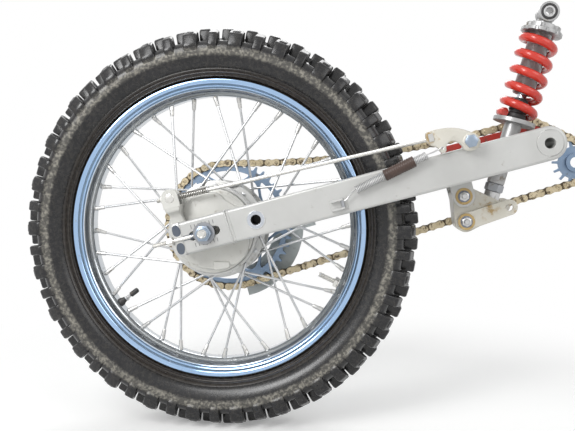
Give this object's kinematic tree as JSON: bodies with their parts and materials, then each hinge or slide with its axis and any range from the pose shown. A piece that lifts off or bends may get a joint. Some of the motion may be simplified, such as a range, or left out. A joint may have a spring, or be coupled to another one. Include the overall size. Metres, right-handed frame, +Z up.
{
  "type": "motorcycle rear wheel and swingarm unit",
  "caption": "Rear wheel of a trail bike in its swingarm: knobby tyre, spoked rim, drum brake with rod and crank, chain drive, suspension rocker and coil-sprung shock absorber.",
  "frame": {"origin": "centre of the swingarm's pivot bore", "axes": "+X forward, +Y to the bike's left, +Z up"},
  "size_m": [0.8442, 0.236, 0.6055],
  "materials": {
    "tyre": "worn black rubber",
    "rim": "polished chrome",
    "hub": "silver paint, satin",
    "spokes": "zinc plated",
    "nipples": "nickel plated",
    "sprocket": "machined steel",
    "valve": "black rubber base",
    "rim_lock": "zinc plated",
    "arm_paint": "silver grey paint",
    "ring_chrome": "plated ring",
    "zinc": "zinc plated",
    "spring_steel": "zinc plated wire",
    "panel_cast": "silver grey paint on a casting",
    "crank_cast": "pale painted casting",
    "sleeve_rubber": "dark brown rubber",
    "chain_steel": "gold-tan plates",
    "slider_plastic": "red moulding",
    "shaft_chrome": "polished rod",
    "shock_alloy": "bare alloy",
    "spring_red": "red gloss paint"
  },
  "bodies": {
    "swingarm": {"adjusters": "zinc", "arm_left": "arm_paint", "arm_right": "arm_paint", "axle": "zinc", "axle_bracket_left": "arm_paint", "axle_bracket_right": "arm_paint", "axle_nuts": "zinc", "brake_cam": "zinc", "brake_crank": "crank_cast", "brake_lever": "panel_cast", "brake_panel": "panel_cast", "brake_rod": "zinc", "bridge": "arm_paint", "chain": "chain_steel", "chain_guard": "arm_paint", "chain_slider": "slider_plastic", "crank_boss": "arm_paint", "end_caps": "arm_paint", "link_bars": "crank_cast", "link_pins": "zinc", "pivot_tube": "arm_paint", "preload_rings": "shock_alloy", "return_spring": "spring_steel", "rocker": "crank_cast", "rod_nut": "zinc", "rod_pin": "zinc", "rod_spring": "spring_steel", "shock_body": "shock_alloy", "shock_clevis": "zinc", "shock_eye": "shock_alloy", "shock_lock_nut": "zinc", "shock_shaft": "shaft_chrome", "shock_spring": "spring_red", "spacers": "zinc", "spring_lug": "arm_paint", "spring_seat": "shock_alloy", "spring_sleeve": "sleeve_rubber", "stand_rings": "ring_chrome"},
    "wheel": {"tyre": "tyre", "rim": "rim", "hub": "hub", "spokes_right": "spokes", "spokes_left": "spokes", "nipples": "nipples", "sprocket": "sprocket", "valve_stem": "valve", "rim_lock": "rim_lock"},
    "drive_sprocket": {"drive_sprocket": "sprocket"}
  },
  "joints": [
    {"name": "wheel_spin", "type": "hinge", "parent": "swingarm", "child": "wheel", "pos_m": [-0.45247, 0, -0.11955], "axis": [0, 1, 0], "continuous": true},
    {"name": "drive_spin", "type": "hinge", "parent": "swingarm", "child": "drive_sprocket", "pos_m": [0.06756, 0.062, -0.0225], "axis": [0, 1, 0], "continuous": true}
  ],
  "couplings": [
    {"joint": "drive_spin", "follows": "wheel_spin", "ratio": 3.4286}
  ]
}
